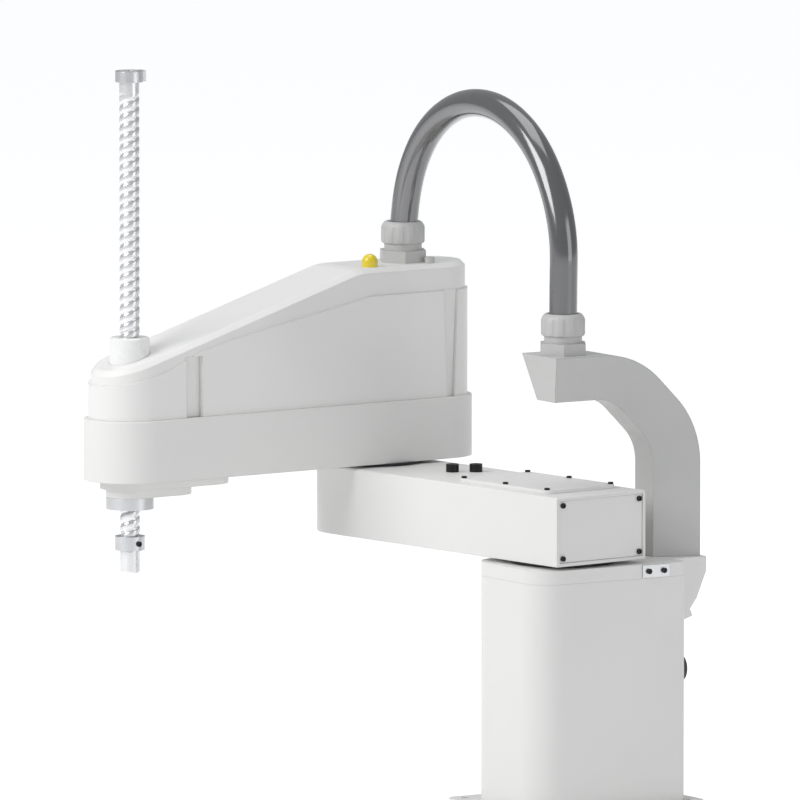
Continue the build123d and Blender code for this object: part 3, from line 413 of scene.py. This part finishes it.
def gland_nut(name, centre, top_of_seat, body, node):
    """A clamping nut: fluted outside, chamfered top, and a bore round the conduit with a small chamfer at
    its top.
    """
    bm = bmesh.new()
    segments = FLUTES * FLUTE_SEGMENTS
    outer = NUT_RADIUS
    bore = NUT_BORE
    low = top_of_seat + NUT_SEAT
    high = low + NUT_HEIGHT
    profile = [
        (bore, low), (outer - 0.0012, low), (outer, low + 0.0014), (outer, high - 0.006),
        (outer - 0.0010, high - 0.0035), (outer - 0.0030, high - 0.0008), (outer - 0.0045, high),
        (bore + 0.0006, high), (bore, high - 0.0008),
    ]
    rings = []
    for index, (radius, z) in enumerate(profile):
        ring = []
        for step in range(segments):
            turn = 2 * math.pi * step / segments
            depth = 0.0
            if index in (2, 3):
                wave = (step % FLUTE_SEGMENTS) / FLUTE_SEGMENTS
                depth = FLUTE_DEPTH if wave < FLUTE_SHARE else 0.0
            reach = radius - depth
            x = centre.x + reach * math.cos(turn)
            y = centre.y + reach * math.sin(turn)
            ring.append(bm.verts.new((x, y, z)))
        rings.append(ring)
    for first, second in zip(rings, rings[1:] + rings[:1]):
        for step in range(segments):
            following = (step + 1) % segments
            bm.faces.new((first[step], first[following], second[following], second[step]))
    nut = make_object(name, bm)
    dress(nut, MATERIALS["gland"], body)
    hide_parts(node)


gland_nut("duct_nut_fluted", Vector((0, 0, 0)), DUCT_TOP, "root", "duct_gland_nut")
gland_nut("arm_nut_fluted", ARM_GLAND, COVER_PEAK, "forearm", "arm_gland_nut")

# Smooth shading of the CAD nodes, the shaft and the tubes, with edges above an angle left sharp
CAD_SHARP = math.radians(28)
PIECE_SHARP = math.radians(50)
for node in NODES.values():
    for face in node.data.polygons:
        face.use_smooth = True
    node.data.set_sharp_from_angle(angle=CAD_SHARP)
for piece in (splined_shaft, riser, drop):
    piece.data.set_sharp_from_angle(angle=PIECE_SHARP)


# Studio: pale floor, white surroundings, soft lamps
FLOOR_RADIUS = 9.0
FLOOR_DROP = 0.0002
FLOOR_GLOW = 0.62
AMBIENT = 0.42


def white_where_seen(name, albedo):
    """A pale surface that the camera, gloss and glass see as white, and that keeps shadows."""
    material, nodes, links, main = shader(name)
    main.inputs["Base Color"].default_value = (*albedo, 1)
    main.inputs["Roughness"].default_value = 0.9
    rays = nodes.new("ShaderNodeLightPath")
    seen = nodes.new("ShaderNodeMath")
    seen.operation = "MAXIMUM"
    seen_more = nodes.new("ShaderNodeMath")
    seen_more.operation = "MAXIMUM"
    links.new(rays.outputs["Is Camera Ray"], seen.inputs[0])
    links.new(rays.outputs["Is Glossy Ray"], seen.inputs[1])
    links.new(seen.outputs[0], seen_more.inputs[0])
    links.new(rays.outputs["Is Transmission Ray"], seen_more.inputs[1])
    strength = nodes.new("ShaderNodeMath")
    strength.operation = "MULTIPLY"
    strength.inputs[1].default_value = FLOOR_GLOW
    links.new(seen_more.outputs[0], strength.inputs[0])
    main.inputs["Emission Color"].default_value = (1, 1, 1, 1)
    links.new(strength.outputs[0], main.inputs["Emission Strength"])
    return material


bm = bmesh.new()
bmesh.ops.create_circle(bm, cap_ends=True, segments=96, radius=FLOOR_RADIUS)
floor = make_object("floor", bm, smooth=False)
floor.location = (0, 0, -FLOOR_DROP)
floor.data.materials.append(white_where_seen("floor_pale", (0.86, 0.86, 0.855)))

world = bpy.data.worlds.new("studio")
bpy.context.scene.world = world
world.use_nodes = True
wn = world.node_tree.nodes
wl = world.node_tree.links
wn.clear()
output = wn.new("ShaderNodeOutputWorld")
ambient = wn.new("ShaderNodeBackground")
ambient.inputs["Color"].default_value = (0.95, 0.97, 1.0, 1)
ambient.inputs["Strength"].default_value = AMBIENT
shown = wn.new("ShaderNodeBackground")
shown.inputs["Color"].default_value = (1, 1, 1, 1)
shown.inputs["Strength"].default_value = 1.0
rays = wn.new("ShaderNodeLightPath")
either = wn.new("ShaderNodeMath")
either.operation = "MAXIMUM"
wl.new(rays.outputs["Is Camera Ray"], either.inputs[0])
wl.new(rays.outputs["Is Transmission Ray"], either.inputs[1])
pick = wn.new("ShaderNodeMixShader")
wl.new(either.outputs[0], pick.inputs[0])
wl.new(ambient.outputs[0], pick.inputs[1])
wl.new(shown.outputs[0], pick.inputs[2])
wl.new(pick.outputs[0], output.inputs["Surface"])


def lamp(name, location, target, size, power):
    """A soft white rectangle of light that faces its target."""
    data = bpy.data.lights.new(name, "AREA")
    data.shape = "RECTANGLE"
    data.size = size[0]
    data.size_y = size[1]
    data.energy = power
    obj = link(bpy.data.objects.new(name, data))
    obj.location = location
    obj.rotation_mode = "QUATERNION"
    obj.rotation_quaternion = (target - location).to_track_quat("-Z", "Y")


CENTRE = Vector((0.1, -0.15, 0.4))
key_spot = CENTRE - side * 2.2 - LOOK * 1.2 + UP * 1.6
fill_spot = CENTRE + side * 2.4 - LOOK * 1.8 + UP * 0.6
top_spot = CENTRE + UP * 2.8 + LOOK * 0.4
lamp("key", key_spot, CENTRE, (1.8, 1.8), 52.0)
lamp("fill", fill_spot, CENTRE, (1.6, 1.6), 13.0)
lamp("top", top_spot, CENTRE, (2.2, 2.2), 28.0)

scene = bpy.context.scene
scene.view_settings.view_transform = "Standard"
